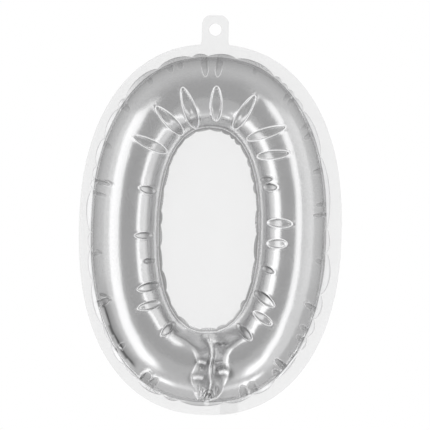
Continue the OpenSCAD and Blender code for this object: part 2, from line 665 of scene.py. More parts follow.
@dataclass(frozen=True)
class CreaseLine:
    """A fine raised crease along a chain of (x, z) places in millimetres.

    A positive height is a ridge and a negative one a groove. light is the painted shade beside
    it, as a factor on the film's colour, and reach how far that goes. pale is the painted
    highlight along it, and spread widens that painted line itself.
    """

    places: tuple[tuple[float, float], ...]
    height: float = 0.3
    painted_highlight: float = 1.0
    light: float = 1.0
    reach: float = 2.0
    width: float = 0.8
    spread: float = 1.0

    def mark(self, plan: RingPlan, x: np.ndarray, z: np.ndarray) -> Mark:
        """Works out the crease at every point of the foil.

        Args:
            plan: not used, as the places are already in millimetres.
            x: X of the points in millimetres.
            z: Z of the points in millimetres.

        Returns:
            The crease's mark on the foil.
        """
        distance = np.full_like(x, 1000.0)
        beyond = np.zeros_like(x)
        for (ax, az), (bx, bz) in zip(self.places[:-1], self.places[1:]):
            dx, dz = bx - ax, bz - az
            length = math.hypot(dx, dz)
            t = ((x - ax) * dx + (z - az) * dz) / length ** 2
            held = np.clip(t, 0.0, 1.0)
            away = np.hypot(x - ax - dx * held, z - az - dz * held)
            away = away * np.where((x - ax) * dz - (z - az) * dx < 0.0, -1.0, 1.0)
            nearer = np.abs(away) < np.abs(distance)
            distance = np.where(nearer, away, distance)
            beyond = np.where(nearer, np.abs(t - held) * length, beyond)
        relief = self.height * np.exp(-(distance / self.width) ** 2)
        # Painted shade beside the crease; pale is the painted highlight along it, which fades past its
        # ends.
        beside = np.exp(-((np.abs(distance) - self.reach) / self.reach) ** 2)
        painted_highlight = self.painted_highlight * np.exp(-(beyond / 0.7) ** 2)
        return Mark(relief, distance / self.spread, painted_highlight, 1.0 + (self.light - 1.0) * beside)


@dataclass(frozen=True)
class Scallop:
    """One arch of the silver's outer edge, from a cusp to the next one."""

    start: float
    peak: float


@dataclass(frozen=True)
class SeamStation:
    """Where the cross seam and the shoulders on each side of it are, at one height."""

    z: float
    seam: float
    left: float
    right: float


@dataclass
class FoilLook:
    """The creases, the wavy edge and the cross seam of one foil.

    lip is the stretch of turns in which the film has slipped over itself, if it has. seed sets
    the waves of the edge in the counter.
    """

    creases: list[Pucker | CreaseLine]
    scallops: tuple[Scallop, ...]
    stations: tuple[SeamStation, ...]
    cusp_reach: float = 0.827
    lip: tuple[float, float] | None = None
    seed: int = 3


CROSS_SEAM = (
    SeamStation(-374.0, 0.2, -2.0, 3.0),
    SeamStation(-368.0, 1.0, -6.0, 11.5),
    SeamStation(-362.0, 2.8, -9.0, 15.5),
    SeamStation(-354.0, 4.6, -12.5, 16.8),
    SeamStation(-347.0, 3.9, -15.0, 20.0),
    SeamStation(-340.5, 3.3, -12.2, 22.5),
    SeamStation(-331.0, 3.6, -7.8, 19.5),
    SeamStation(-323.5, 4.9, -9.8, 19.0),
    SeamStation(-316.0, 2.8, -13.0, 22.0),
    SeamStation(-309.0, 0.5, -20.0, 30.0),
    SeamStation(-303.0, 0.2, -32.0, 40.0),
)


SCALLOPS = tuple(
    Scallop(start, peak)
    for start, peak in (
        (-1.5, 0.868), (9.0, 0.872), (28.5, 0.862), (33.0, 0.858), (37.0, 0.86), (41.5, 0.862),
        (48.3, 0.874), (67.0, 0.878), (89.3, 0.872), (95.0, 0.906), (108.0, 0.888), (117.0, 0.884),
        (124.0, 0.872), (130.5, 0.862), (146.5, 0.87), (159.0, 0.866), (172.5, 0.868), (190.0, 0.862),
        (198.0, 0.872), (212.5, 0.852), (220.0, 0.868), (231.0, 0.852), (238.5, 0.878), (254.8, 0.868),
        (264.5, 0.86), (269.0, 0.888), (280.2, 0.868), (283.2, 0.866), (287.7, 0.878), (298.0, 0.872),
        (310.7, 0.866), (315.5, 0.878), (335.5, 0.872), (352.0, 0.866),
    )
)


def front_look() -> FoilLook:
    """Lists the creases of the front foil.

    Returns:
        The look of the front foil.
    """
    long_leaves = [
        Pucker((3.2, 0.135), (1.8, 0.50), 11.5, 1.0, taper=0.05, ribs=3, shade=0.25),
        Pucker((21.0, 0.12), (24.5, 0.535), 11.0, 1.0, taper=0.12, ribs=3, shade=0.25),
        Pucker((36.0, 0.14), (48.6, 0.57), 10.0, 1.0, taper=0.10, ribs=3, shade=0.25),
        Pucker((51.0, 0.15), (60.0, 0.50), 9.0, 1.0, taper=0.05, ribs=3, shade=0.3),
        Pucker((87.0, 0.16), (87.8, 0.435), 9.0, 1.2, shade=0.55),
        Pucker((94.3, 0.16), (93.5, 0.385), 9.5, 1.2, taper=-0.05, shade=0.6),
        Pucker((132.0, 0.18), (129.8, 0.425), 8.5, 1.2, taper=-0.1, painted_highlight=0.9, shade=0.6),
        Pucker((311.5, 0.13), (305.5, 0.54), 10.0, 1.0, taper=0.10, ribs=2, shade=0.35),
        Pucker((331.5, 0.10), (325.0, 0.51), 11.5, 1.0, taper=0.15, ribs=3, shade=0.35),
        Pucker((346.2, 0.08), (344.0, 0.53), 12.5, 1.1, taper=0.15, ribs=3, shade=0.35),
    ]
    short_dents = [
        Pucker(
            (turn, start), (tip_turn, tip), width, 1.5 * depth, taper=0.1, painted_highlight=painted_highlight, shade=shade,
            base_rim=0.1,
        )
        for turn, start, tip_turn, tip, width, depth, painted_highlight, shade in (
            (65.0, 0.13, 67.7, 0.25, 6.0, 0.8, 0.4, 0.5), (69.5, 0.14, 72.5, 0.29, 7.5, 1.0, 0.7, 0.6),
            (105.7, 0.14, 106.6, 0.27, 6.5, 0.9, 0.4, 0.8), (120.5, 0.12, 121.6, 0.37, 9.5, 1.2, 0.9, 0.8),
            (148.5, 0.12, 145.5, 0.34, 8.5, 1.0, 0.7, 0.5), (211.5, 0.12, 214.5, 0.31, 8.5, 1.0, 0.7, 0.4),
            (231.3, 0.15, 236.5, 0.40, 8.5, 1.3, 1.0, 0.5), (242.0, 0.11, 245.0, 0.35, 9.0, 1.3, 0.9, 0.6),
            (255.8, 0.12, 257.0, 0.24, 6.0, 0.8, 0.1, 0.6), (267.7, 0.13, 267.8, 0.325, 7.0, 1.0, 0.9, 0.5),
            (286.5, 0.13, 285.5, 0.31, 8.0, 1.0, 0.7, 0.5),
        )
    ]
    outer_dents = [
        Pucker(
            (turn, 0.815), (tip_turn, tip), width, 1.3 * depth, painted_highlight=painted_highlight, shade=shade, base_rim=0.0,
            open_base=True,
        )
        for turn, tip_turn, tip, width, depth, painted_highlight, shade in (
            (2.3, 2.0, 0.60, 6.5, 0.9, 0.75, 0.3), (357.0, 357.3, 0.60, 6.5, 0.9, 0.75, 0.3),
            (19.0, 19.5, 0.72, 5.0, 0.4, 0.2, 0.2), (38.6, 39.0, 0.70, 5.0, 0.4, 0.2, 0.3),
            (41.2, 41.5, 0.71, 4.0, 0.4, 0.2, 0.2), (54.0, 54.0, 0.71, 5.0, 0.4, 0.2, 0.2),
            (58.0, 58.0, 0.70, 6.0, 0.5, 0.25, 0.2), (71.5, 71.5, 0.70, 6.0, 0.5, 0.3, 0.3),
            (82.5, 82.5, 0.70, 5.0, 0.7, 0.4, 0.4), (85.6, 85.5, 0.66, 4.0, 0.9, 0.5, 0.6),
            (97.8, 97.5, 0.71, 6.0, 0.5, 0.3, 0.2), (113.5, 113.0, 0.68, 5.5, 0.9, 0.6, 0.5),
            (122.0, 121.5, 0.71, 5.0, 0.6, 0.4, 0.3), (126.0, 126.0, 0.72, 5.0, 0.7, 0.4, 0.4),
            (134.0, 134.0, 0.74, 5.0, 0.4, 0.2, 0.3), (139.8, 140.8, 0.66, 6.0, 1.3, 1.0, 0.9),
            (144.0, 145.0, 0.73, 6.0, 1.0, 0.8, 0.6), (158.0, 157.5, 0.70, 9.0, 1.0, 0.4, 0.4),
            (163.0, 162.5, 0.70, 8.5, 1.1, 0.5, 0.4), (205.0, 203.3, 0.70, 8.0, 1.4, 0.5, 0.7),
            (208.8, 208.3, 0.69, 9.0, 1.6, 0.9, 0.7), (227.0, 227.0, 0.68, 6.0, 0.6, 0.4, 0.3),
            (246.5, 246.5, 0.67, 7.0, 1.1, 0.6, 0.6), (263.0, 263.0, 0.71, 5.0, 0.5, 0.3, 0.2),
            (279.2, 279.0, 0.66, 4.0, 0.7, 0.3, 0.6), (283.0, 283.0, 0.63, 4.5, 0.9, 0.6, 0.6),
            (296.0, 296.0, 0.71, 6.0, 0.4, 0.2, 0.2), (313.0, 313.0, 0.71, 7.0, 0.5, 0.25, 0.2),
            (329.5, 329.5, 0.72, 6.0, 0.4, 0.2, 0.2), (341.0, 341.0, 0.72, 6.0, 0.4, 0.3, 0.2),
            (346.0, 346.0, 0.72, 6.0, 0.4, 0.3, 0.2),
        )
    ]
    seam_lines = [
        CreaseLine(
            ((0.5, -309.5), (3.6, -316.0), (4.9, -326.0), (2.9, -335.0), (3.4, -345.0), (4.6, -354.0),
             (2.6, -361.0), (1.0, -368.0)),
            height=0.6, light=0.72, reach=1.9,
        ),
        CreaseLine(
            ((8.2, -318.0), (8.6, -324.0), (6.8, -333.0), (6.9, -352.0)),
            height=0.25, painted_highlight=0.35, width=0.6,
        ),
        CreaseLine(((6.6, -313.2), (20.6, -312.8)), height=-0.4, painted_highlight=0.0, light=0.45, reach=0.5),
        CreaseLine(
            ((-7.5, -330.6), (-4.5, -331.0), (-2.0, -332.2)),
            0.3, light=0.55, reach=2.6, width=1.6, spread=3.0,
        ),
        CreaseLine(
            ((-13.0, -347.0), (-8.5, -346.2), (-4.0, -347.2)),
            0.3, light=0.6, reach=2.8, width=1.8, spread=3.6,
        ),
        CreaseLine(
            ((12.5, -341.2), (16.7, -340.0), (21.5, -341.4)),
            0.3, light=0.5, reach=2.8, width=1.8, spread=3.6,
        ),
        CreaseLine(
            ((12.0, -336.8), (15.8, -335.6), (21.0, -337.4)),
            height=-0.4, painted_highlight=0.0, light=0.5, reach=1.6,
        ),
        CreaseLine(((-11.5, -362.0), (-8.0, -368.5)), height=0.6, painted_highlight=0.9, width=1.2, spread=1.8),
        CreaseLine(((-1.0, -372.5), (5.0, -369.6), (11.0, -367.0), (15.6, -361.0)), height=0.5, light=0.9),
        CreaseLine(
            ((11.0, -357.0), (10.5, -362.0), (5.5, -366.0)),
            height=-0.6, painted_highlight=0.0, light=0.6, reach=1.3,
        ),
        CreaseLine(((-34.0, -298.0), (-39.0, -306.0)), height=-0.4, painted_highlight=0.0, light=0.85, reach=1.0),
        CreaseLine(((30.0, -297.0), (37.0, -306.0)), height=-0.4, painted_highlight=0.0, light=0.8, reach=1.0),
        CreaseLine(
            ((-65.0, -344.6), (-62.0, -341.4), (-58.0, -341.4), (-54.0, -345.4)),
            0.8, width=1.2, spread=1.9,
        ),
        CreaseLine(((-93.0, -310.0), (-90.0, -314.0)), -0.3, 0.0, 0.75, 0.7),
        CreaseLine(((-88.0, -319.0), (-84.5, -322.0)), 0.3, 0.7, 0.8, 0.7),
        CreaseLine(
            ((97.5, -310.5), (91.8, -320.0), (87.9, -325.7), (78.2, -339.0), (67.7, -351.2)),
            0.2, light=0.85, reach=1.2, spread=1.2,
        ),
        CreaseLine(((-106.0, -154.5), (-102.0, -154.6), (-98.0, -157.0)), -0.5, 0.0, 0.5, 0.6),
        CreaseLine(((-111.5, -223.3), (-108.0, -225.7)), -0.4, 0.0, 0.6, 0.5),
        CreaseLine(((-107.0, -267.0), (-103.0, -267.6), (-98.0, -272.0)), -0.6, 0.0, 0.5, 0.8),
    ]
    creases = long_leaves + short_dents + outer_dents + seam_lines
    return FoilLook(creases, SCALLOPS, CROSS_SEAM, lip=(214.0, 248.0))


def back_look() -> FoilLook:
    """Spreads creases over the back foil by rule.

    Returns:
        The look of the back foil.
    """
    rng = random.Random(11)
    creases: list[Pucker | CreaseLine] = []
    turn = 204.0
    while turn < 516.0:
        at_end = abs(math.cos(math.radians(turn)))
        tip = 0.27 + 0.26 * at_end * rng.uniform(0.75, 1.0)
        width = 6.5 + 4.5 * at_end
        start = rng.uniform(0.12, 0.15)
        creases.append(
            Pucker(
                (turn, start), (turn + rng.uniform(-4, 4), tip), width, 0.9 + 0.6 * at_end,
                taper=0.1, ribs=3 if at_end > 0.5 else 0, shade=0.3,
            )
        )
        turn += rng.uniform(13.0, 21.0)
    turn = 196.0
    while turn < 524.0:
        creases.append(
            Pucker(
                (turn, 0.815), (turn, rng.uniform(0.64, 0.74)), rng.uniform(4.5, 8.0),
                rng.uniform(0.4, 1.2),
                painted_highlight=rng.uniform(0.1, 0.5), shade=0.3, base_rim=0.0, open_base=True,
            )
        )
        turn += rng.uniform(8.0, 17.0)
    seam = tuple((s.seam, s.z) for s in reversed(CROSS_SEAM[1:-1]))
    creases.append(CreaseLine(seam, height=0.6, light=0.72, reach=1.9))
    return FoilLook(creases, SCALLOPS, CROSS_SEAM)


@dataclass
class Foil:
    """One silver foil of the puffed ring, with its seams and creases."""

    side: Side
    name: str
    node: str
    look: FoilLook
    material: bpy.types.Material
    plan: RingPlan = field(default_factory=RingPlan)
    section: TubeSection = field(default_factory=TubeSection)
    columns: int = 860
    thickness: float = 0.0002
    shoulder: float = 0.17
    floor_least: float = 0.08
    floor_share: float = 0.36
    floor_middle: float = -333.0
    floor_reach: float = 22.0
    crinkle_depth: float = 0.07
    # The patch where the crinkles get their fine bump and their painted light and shade.
    crinkle_bump_and_shade_patch: tuple[float, float, float, float] = (2.0, -364.0, 8.0, 7.5)
    crinkle_relief: tuple[float, float, float, float] = (2.5, -363.0, 9.0, 8.0)
    lip_reach: float = 0.768
    lip_sway: float = 0.004
    lip_height: float = 1.1
    lip_groove: float = 0.9
    # Painted light in the valley of the cross seam.
    valley_painted_light: float = 0.28
    crease_range: float = 3.0

    def edges(self, turn: np.ndarray) -> tuple[np.ndarray, np.ndarray, np.ndarray]:
        """Works out the wavy edges of the silver.

        Args:
            turn: the columns' turns in degrees.

        Returns:
            The reach of the edge in the counter, the haze of the margin there, and the reach
            of the outer edge.
        """
        starts = [s.start for s in self.look.scallops]
        starts.append(starts[0] + 360.0)
        outer = np.full_like(turn, self.look.cusp_reach)
        for scallop, start, end in zip(self.look.scallops, starts[:-1], starts[1:]):
            t = ((turn - start) % 360.0) / (end - start)
            arch = np.sin(np.pi * np.clip(t, 0.0, 1.0)) ** 0.5
            raised = self.look.cusp_reach + (scallop.peak - self.look.cusp_reach) * arch
            outer = np.where(t < 1.0, raised, outer)
        rng = random.Random(self.look.seed)
        inner = np.full_like(turn, 0.05)
        haze = np.zeros_like(turn)
        start = 0.0
        while start < 360.0:
            width = rng.uniform(6.0, 15.0)
            depth = rng.uniform(0.006, 0.030)
            hazy = rng.uniform(0.0, 0.6)
            t = ((turn - start) % 360.0) / width
            arch = np.sin(np.pi * np.clip(t, 0.0, 1.0)) ** 0.6
            inner = np.where(t < 1.0, 0.050 - depth * arch, inner)
            haze = np.where(t < 1.0, hazy * arch, haze)
            start += width
        return inner, haze, outer

    def cross_seam(self, x: np.ndarray, z: np.ndarray, height: np.ndarray) -> tuple[np.ndarray, np.ndarray]:
        """Presses the tube down along the cross seam.

        Args:
            x: X of the points in millimetres.
            z: Z of the points in millimetres.
            height: their puff heights.

        Returns:
            The pressed heights, and the share of the full height that is left.
        """
        heights = [s.z for s in self.look.stations]
        seam, left, right = (
            np.interp(z, heights, [getattr(s, key) for s in self.look.stations])
            for key in ("seam", "left", "right")
        )
        off = x - seam
        share = np.abs(off) / np.where(off < 0.0, seam - left, right - seam)
        bump = np.exp(-(((z - self.floor_middle) / self.floor_reach) ** 2))
        floor = self.floor_least + self.floor_share * bump
        wall = floor + (1.0 - floor) * share
        blend = np.clip(self.shoulder - np.abs(wall - 1.0), 0.0, None)
        pressed = np.minimum(wall, 1.0) - blend ** 2 / (4.0 * self.shoulder)
        left_over = np.where(z < self.plan.centre[1] - 60.0, pressed, 1.0)
        return height * left_over, left_over

    @staticmethod
    def patch(spot: tuple[float, float, float, float], x: np.ndarray, z: np.ndarray) -> np.ndarray:
        """A soft oval patch, from 1 in its middle, given by its middle's X and Z and its half sizes."""
        return np.exp(-(((x - spot[0]) / spot[2]) ** 2) - ((z - spot[1]) / spot[3]) ** 2)

    def crinkle(self, x: np.ndarray, z: np.ndarray) -> np.ndarray:
        """A patch of small creases where the cross seam meets the outer seam, in millimetres."""
        waves = np.sin(x * 2.1 + 1.7 * np.sin(z * 1.3)) + np.sin(z * 2.6 + 1.3 * np.sin(x * 1.7))
        return self.crinkle_depth * self.patch(self.crinkle_relief, x, z) * waves

    def lip_mark(self, turn: np.ndarray, reach: np.ndarray) -> tuple[np.ndarray, np.ndarray]:
        """A long step near the outer seam, where the film has slipped over itself.

        Args:
            turn: turns of the points in degrees.
            reach: their reaches.

        Returns:
            The step's relief in millimetres, and its painted light and shade: painted shade inside it and
            in its groove, painted light on its ledge.
        """
        if self.look.lip is None:
            return np.zeros_like(reach), np.ones_like(reach)
        low, high = self.look.lip
        window = smooth_step(turn, low, low + 5.0) * (1.0 - smooth_step(turn, high - 4.0, high))
        middle = self.lip_reach + self.lip_sway * np.sin(np.radians(turn * 31.0))
        step = smooth_step(reach, middle - 0.008, middle + 0.010) * (1.0 - smooth_step(reach, 0.80, 0.822))
        inside = np.where(reach < middle, np.exp(-np.abs(middle - 0.008 - reach) / 0.050), 0.0)
        groove = np.exp(-(((reach - middle + 0.010) / 0.016) ** 2))
        ledge = step * smooth_step(reach, middle, middle + 0.006)
        # Painted shade inside the lip and in its groove, painted light on its ledge.
        shade = 0.55 * inside + 0.30 * groove - 0.22 * ledge
        return window * (self.lip_height * step - self.lip_groove * groove), 1.0 - window * shade

    def margin_look(self, turn: np.ndarray, inner_haze: np.ndarray) -> tuple[np.ndarray, np.ndarray]:
        """Works out the painted light and shade and the haze of each row of the foil before its creases.

        Args:
            turn: the columns' turns in degrees.
            inner_haze: the haze of the margin in the counter, at each column.

        Returns:
            The painted light and shade, and the haze, shaped (rows, columns).
        """
        ones = np.ones_like(turn)
        # The outer margin is paler and less metallic at the sides than at the top and bottom, and hardly so
        # between turns 130 and 147.
        sideways = 0.30 + 0.70 * np.abs(np.sin(np.radians(turn))) ** 1.2
        sideways *= 1.0 - 0.9 * smooth_step(turn, 130.0, 133.0) * (1.0 - smooth_step(turn, 144.0, 147.0))
        # Painted light and shade, row by row: darker where the tube runs into its seams, just outside the
        # outer seam and towards the silver's outer edge, with a darker and a lighter band on the margin in
        # the counter.
        tube = [1.0 * ones] * self.section.tube_rows
        tube[0], tube[1], tube[-1] = 0.95 * ones, 0.80 * ones, 0.74 * ones
        inner_painted_shading = [0.85 * ones, 1.0 * ones, 0.78 * ones, 1.15 * ones]
        outer_painted_shading = [0.66 * ones, 0.98 * ones, 1.0 * ones, 1.0 * ones, 0.72 * ones, 0.55 * ones]
        inner = [inner_haze, inner_haze, 0.3 * inner_haze, 0.9 * ones]
        tube_haze = [0.3 * ones] + [0.0 * ones] * (self.section.tube_rows - 1)
        outer = [0.2 * sideways, sideways, sideways, sideways, sideways, sideways]
        return np.stack(inner_painted_shading + tube + outer_painted_shading), np.stack(inner + tube_haze + outer)

    def skin(self) -> tuple[np.ndarray, dict[str, np.ndarray]]:
        """Works out the foil's outer face.

        Returns:
            The places of its vertices in metres, shaped (rows, columns, 3), and the values
            that they carry for the material.
        """
        turns = self.plan.even_turns(self.columns, 0.42)
        turn = turns % 360.0
        inner_edge, inner_haze, outer_edge = self.edges(turn)
        reach, foot, puff = self.section.across(inner_edge, outer_edge)
        x, z = self.plan.spot(turns, reach)
        pressed, left_over = self.cross_seam(x, z, puff)
        sway = 0.35 * np.sin(np.radians(turns * 9.0)) + 0.25 * np.sin(np.radians(turns * 23.0 + 40.0))
        base = np.stack([x, -(foot + pressed * (1.0 + 0.012 * sway)), z], axis=-1)
        normal = np.cross(np.gradient(base, axis=1), np.gradient(base, axis=0))
        normal /= np.linalg.norm(normal, axis=-1, keepdims=True) + 1e-12
        normal *= np.sign(-normal[..., 1:2] + 1e-9)

        # light is painted light and shade, as a factor on the colour; haze is the sealed margins' haze.
        light, haze = self.margin_look(turn, inner_haze)
        lip_relief, lip_painted_shading = self.lip_mark(turn * np.ones_like(reach), reach)
        relief = self.crinkle(x, z) + lip_relief
        # Painted light and shade along the lip.
        light = light * lip_painted_shading
        # Painted light in the valley of the cross seam.
        light = light * (1.0 + self.valley_painted_light * (1.0 - smooth_step(left_over, 0.7, 0.98)))
        near_seam = smooth_step(puff, 0.0, 3.0)
        distance = np.full_like(x, self.crease_range)
        painted_highlight = np.zeros_like(x)
        # Each crease adds its relief and multiplies in its painted shade; the nearest one with a painted
        # highlight gives its distance and strength.
        for crease in self.look.creases:
            mark = crease.mark(self.plan, x, z)
            relief = relief + mark.relief * near_seam
            light = light * mark.light
            wins = (np.abs(mark.distance) < np.abs(distance)) & (mark.painted_highlight > 0.05)
            distance = np.where(wins, mark.distance, distance)
            painted_highlight = np.where(wins, mark.painted_highlight * (1.0 - smooth_step(np.abs(mark.distance), 1.5, 2.5)), painted_highlight)
        places = base + normal * relief[..., None]
        places[..., 1] = np.minimum(places[..., 1], -self.section.edge_foot)
        places[:, -1] = places[:, 0]
        if self.side is Side.BACK:
            places[..., 1] *= -1.0
        values = {
            "crease_distance": distance, "crease_painted_highlight": painted_highlight, "painted_shading": light, "haze": haze,
            "crinkle": self.patch(self.crinkle_bump_and_shade_patch, x, z),
        }
        return places * MM, values

    def build(self) -> bpy.types.Object:
        """Makes the foil and puts it in place of its CAD node.

        Returns:
            The foil's object.
        """
        foil = sheet_grid(self.name, *self.skin())
        weld(foil, 0.00001)
        face_towards(foil, Vector((0.0, float(self.side.value), 0.0)))
        thicken(foil, self.thickness)
        cover(foil, self.material)
        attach(foil, "balloon")
        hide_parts(self.node)
        LOG.info("%s: %d faces", foil.name, len(foil.data.polygons))
        return foil


# ---------------------------------------------------------------------------------------------
# Clear films
# ---------------------------------------------------------------------------------------------


@dataclass
class ClearBorder:
    """One clear film round the numeral, with its hang tab, as one sheet."""

    side: Side
    name: str
    nodes: tuple[str, str]
    material: bpy.types.Material
    plan: RingPlan = field(default_factory=RingPlan)
    thickness: float = 0.00012
    gap: float = 0.00016
    columns: int = 480
    rows: int = 10
    inner_reach: float = 0.816
    outline_power: float = 2.272
    root_half: float = 16.0
    root_flare: float = 5.0
    corner_radius: float = 9.0
    hole_radius: float = 6.0
    tab_rows: int = 14

    def film_sizes(self) -> tuple[float, float, float]:
        """Half width, half height and middle height of the film, in millimetres, from the CAD."""
        low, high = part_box(self.nodes[0])
        return (high.x - low.x) / 2 / MM, (high.z - low.z) / 2 / MM, (high.z + low.z) / 2 / MM

    def outline(self, turn: np.ndarray) -> tuple[np.ndarray, np.ndarray]:
        """The film's die cut edge.

        Args:
            turn: turns in degrees, clockwise from the top.

        Returns:
            X and Z in millimetres.
        """
        half_w, half_h, middle = self.film_sizes()
        power = 2.0 / self.outline_power
        sine, cosine = np.sin(np.radians(turn)), np.cos(np.radians(turn))
        x = half_w * np.sign(sine) * np.abs(sine) ** power
        z = middle + half_h * np.sign(cosine) * np.abs(cosine) ** power
        return x, z

    def ring_points(self) -> np.ndarray:
        """Vertices of the film round the numeral, shaped (rows, columns, 2), in millimetres."""
        turn = np.linspace(0.0, 360.0, self.columns + 1)
        outer_x, outer_z = self.outline(turn)
        inner_x, inner_z = self.plan.spot(turn, np.full_like(turn, self.inner_reach))
        t = np.linspace(0.0, 1.0, self.rows)[:, None]
        return np.stack([inner_x + (outer_x - inner_x) * t, inner_z + (outer_z - inner_z) * t], axis=-1)

    def tab_points(self, root: np.ndarray) -> np.ndarray:
        """Vertices of the tab, from its hole out to its edge.

        Args:
            root: the film's edge vertices that the tab grows from, from right to left.

        Returns:
            Places in millimetres, shaped (tab_rows, outline points, 2), closed on itself.
        """
        low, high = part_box(self.nodes[1])
        half, top = (high.x - low.x) / 2 / MM, high.z / MM
        corner = self.corner_radius
        outline: list[tuple[float, float]] = [tuple(p) for p in root]

        def side_points(sign: float, corner_root: np.ndarray) -> list[tuple[float, float]]:
            """One side of the tab, from its root up to the start of its top edge."""
            spots = []
            flare_z = corner_root[1] + self.root_flare
            for share in np.linspace(0.85, 0.0, 6):
                flare = (abs(corner_root[0]) - half) * share ** 2
                spots.append((sign * (half + flare), flare_z - self.root_flare * share))
            straight = np.linspace(flare_z, top - corner, 14)[1:]
            spots += [(sign * half, z) for z in straight]
            for angle in np.linspace(0.0, 90.0, 13)[1:]:
                a = math.radians(angle)
                spots.append((sign * (half - corner * (1 - math.cos(a))), top - corner * (1 - math.sin(a))))
            return spots

        left = side_points(-1.0, root[-1])
        right = side_points(1.0, root[0])[::-1]
        crown = [(x, top) for x in np.linspace(left[-1][0], right[0][0], 7)[1:-1]]
        outline += left + crown + right
        edge = np.array(outline + [outline[0]])
        angle = np.arctan2(edge[:, 1], edge[:, 0])
        hole = self.hole_radius * np.stack([np.cos(angle), np.sin(angle)], axis=-1)
        t = np.linspace(0.0, 1.0, self.tab_rows)[:, None, None]
        return hole + (edge - hole) * t

    def lay(self, plan_points: np.ndarray) -> np.ndarray:
        """Turns plan places in millimetres into places on this ply's outer face, in metres."""
        y = np.full(plan_points.shape[:-1], self.side.value * (self.gap + self.thickness) / MM)
        return np.stack([plan_points[..., 0], y, plan_points[..., 1]], axis=-1) * MM

    def build(self) -> bpy.types.Object:
        """Makes the film and its tab as one sheet.

        Returns:
            The film's object.
        """
        ring = self.ring_points()
        film = sheet_grid(self.name, self.lay(ring))
        edge = ring[-1]
        near = [p for p in edge[:-1] if abs(p[0]) <= self.root_half and p[1] > edge[:, 1].mean()]
        root = np.array(sorted(near, key=lambda p: -p[0]))
        tab_plan = self.tab_points(root)
        tab = sheet_grid(self.name + "_tab", self.lay(tab_plan))
        deselect_all()
        tab.select_set(True)
        film.select_set(True)
        bpy.context.view_layer.objects.active = film
        bpy.ops.object.join()
        weld(film, 0.000002)
        face_towards(film, Vector((0.0, float(self.side.value), 0.0)))
        thicken(film, self.thickness)
        cover(film, self.material)
        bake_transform(film)
        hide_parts(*self.nodes)
        LOG.info("%s: %d faces", film.name, len(film.data.polygons))
        return film


@dataclass
class ClearWindow:
    """One clear film in the numeral's counter."""

    side: Side
    name: str
    node: str
    material: bpy.types.Material
    plan: RingPlan = field(default_factory=RingPlan)
    thickness: float = 0.00012
    gap: float = 0.00016
    reach: float = 0.085
    columns: int = 240
    rows: int = 12

    def build(self) -> bpy.types.Object:
        """Makes the film, from its middle out to its edge.

        Returns:
            The film's object.
        """
        turn = np.linspace(0.0, 360.0, self.columns + 1)
        edge_x, edge_z = self.plan.spot(turn, np.full_like(turn, self.reach))
        middle_x, middle_z = self.plan.centre
        share = np.linspace(0.0, 1.0, self.rows)[:, None]
        x = middle_x + (edge_x - middle_x) * share
        z = middle_z + (edge_z - middle_z) * share
        y = np.full_like(x, self.side.value * (self.gap + self.thickness) / MM)
        film = sheet_grid(self.name, np.stack([x, y, z], axis=-1) * MM)
        weld(film, 0.000002)
        face_towards(film, Vector((0.0, float(self.side.value), 0.0)))
        thicken(film, self.thickness)
        cover(film, self.material)
        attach(film, "balloon")
        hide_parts(self.node)
        LOG.info("%s: %d faces", film.name, len(film.data.polygons))
        return film


@dataclass
class ValveFilm:
    """One film of the valve, either its sealed sleeve or its free tail."""

    side: Side
    name: str
    node: str
    body: str
    material: bpy.types.Material
    bow: float = 0.0
    thickness: float = 0.00004
    gap: float = 0.00003
    columns: int = 24
    rows: int = 40
    seal_at: float = 0.86
    seal_width: float = 0.05

    def build(self) -> bpy.types.Object:
        """Makes the film, with a soft bow along it and a sealed line near each long edge.

        Returns:
            The film's object.
        """
        low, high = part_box(self.node)
        across = np.linspace(low.x, high.x, self.columns)[None, :]
        up = np.linspace(low.z, high.z, self.rows)[:, None]
        share = (up - low.z) / (high.z - low.z)
        middle = (low.x + high.x) / 2
        edge = np.abs(across - middle) / ((high.x - low.x) / 2)
        seal = np.exp(-(((edge - self.seal_at) / self.seal_width) ** 2))
        arch = self.bow * np.sin(np.pi * share) * (1.0 - edge ** 2)
        y = self.side.value * (self.gap + self.thickness + arch) * (1.0 - 0.4 * seal)
        grid = np.stack(np.broadcast_arrays(across, y, up), axis=-1)
        film = sheet_grid(self.name, grid)
        face_towards(film, Vector((0.0, float(self.side.value), 0.0)))
        thicken(film, self.thickness)
        cover(film, self.material)
        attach(film, self.body)
        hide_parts(self.node)
        LOG.info("%s: %d faces", film.name, len(film.data.polygons))
        return film


# ---------------------------------------------------------------------------------------------
# Studio
# ---------------------------------------------------------------------------------------------


def soft_lamp(name: str, size: tuple[float, float], brightness: float, place: Vector) -> bpy.types.Object:
    """Adds a rectangular area light that the camera doesn't see.

    Args:
        name: the light's name.
        size: its width and height in metres.
        brightness: how bright its surface looks, with white at 1.
        place: its middle.

    Returns:
        The light's object, facing down.
    """
    lamp = bpy.data.lights.new(name, "AREA")
    lamp.shape = "RECTANGLE"
    lamp.size, lamp.size_y = size
    lamp.energy = brightness * math.pi * size[0] * size[1]
    light = bpy.data.objects.new(name, lamp)
    bpy.context.scene.collection.objects.link(light)
    light.location = place
    light.visible_camera = False
    return light


@dataclass(frozen=True)
class SoftBox:
    """A rectangular soft light given by the two ends of its plan and by its height range."""

    name: str
    start: tuple[float, float]
    end: tuple[float, float]
    low: float
    high: float
    brightness: float

    def build(self, target: Vector) -> bpy.types.Object:
        """Adds the light.

        Args:
            target: the point whose side of the light shines.

        Returns:
            The light's object.
        """
        start, end = Vector((*self.start, self.low)), Vector((*self.end, self.high))
        middle = (start + end) / 2
        size = (math.dist(self.start, self.end), self.high - self.low)
        light = soft_lamp(self.name, size, self.brightness, middle)
        facing = Vector((self.start[1] - self.end[1], self.end[0] - self.start[0], 0.0))
        if facing.dot(target - middle) < 0:
            facing.negate()
        light.rotation_euler = facing.to_track_quat("-Z", "Y").to_euler()
        return light


